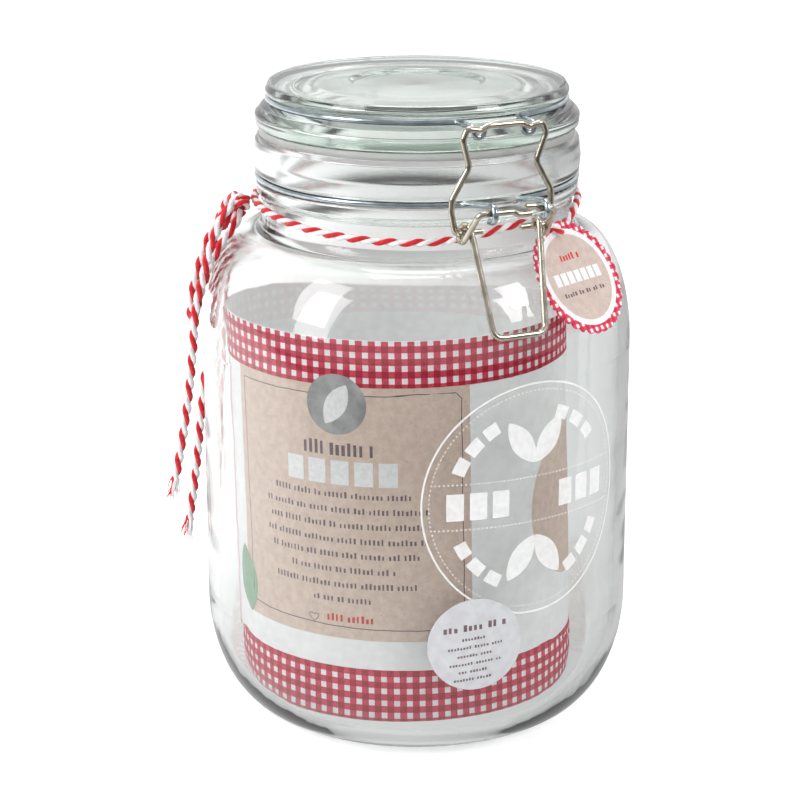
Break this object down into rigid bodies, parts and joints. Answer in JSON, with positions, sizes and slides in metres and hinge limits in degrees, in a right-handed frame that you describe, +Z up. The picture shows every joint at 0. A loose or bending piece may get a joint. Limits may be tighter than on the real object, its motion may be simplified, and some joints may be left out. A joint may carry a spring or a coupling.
{
  "type": "clip-top storage jar",
  "caption": "Clear glass storage jar with a hinged glass lid, rubber seal and wire clasp; a printed paper roll inside and a twine bow with a hang tag at the neck.",
  "frame": {"origin": "centre of the base on the surface it stands on", "axes": "+Z up along the jar's axis, the clasp faces -Y and the lid's hinge is at +Y"},
  "size_m": [0.1507, 0.1434, 0.2117],
  "materials": {
    "jar_glass": "clear pressed glass",
    "lid_glass": "clear glass with a pale green edge",
    "seal_rubber": "translucent white",
    "neck_wire": "zinc plated wire",
    "clip_wire": "bright nickel-plated wire",
    "printed_paper": "matt print",
    "sticker_paper": "matt white label",
    "tag_card": "matt printed card",
    "twine_yarn": "red and white twisted cotton"
  },
  "bodies": {
    "jar": {"jar": "jar_glass", "neck_ring": "neck_wire", "paper_roll": "printed_paper", "sticker": "sticker_paper", "hang_tag": "tag_card", "twine_neck": "twine_yarn", "twine_knot": "twine_yarn", "twine_bow_loop": "twine_yarn", "twine_short_loop": "twine_yarn", "twine_long_tail": "twine_yarn", "twine_short_tail": "twine_yarn"},
    "lid": {"lid": "lid_glass", "gasket": "seal_rubber", "lid_ring": "neck_wire"},
    "lever": {"lever": "clip_wire"},
    "link": {"link": "clip_wire"}
  },
  "joints": [
    {"name": "lid_hinge", "type": "hinge", "parent": "jar", "child": "lid", "pos_m": [0, 0.06, 0.1846], "axis": [-1, 0, 0], "range_deg": [0, 105]},
    {"name": "lever_hinge", "type": "hinge", "parent": "jar", "child": "lever", "pos_m": [0, -0.069, 0.1822], "axis": [-1, 0, 0], "range_deg": [0, 75]},
    {"name": "link_hinge", "type": "hinge", "parent": "lever", "child": "link", "pos_m": [0, -0.0586, 0.1744], "axis": [1, 0, 0], "range_deg": [0, 140]}
  ],
  "couplings": [
    {"joint": "link_hinge", "follows": "lever_hinge", "ratio": 1.85}
  ]
}
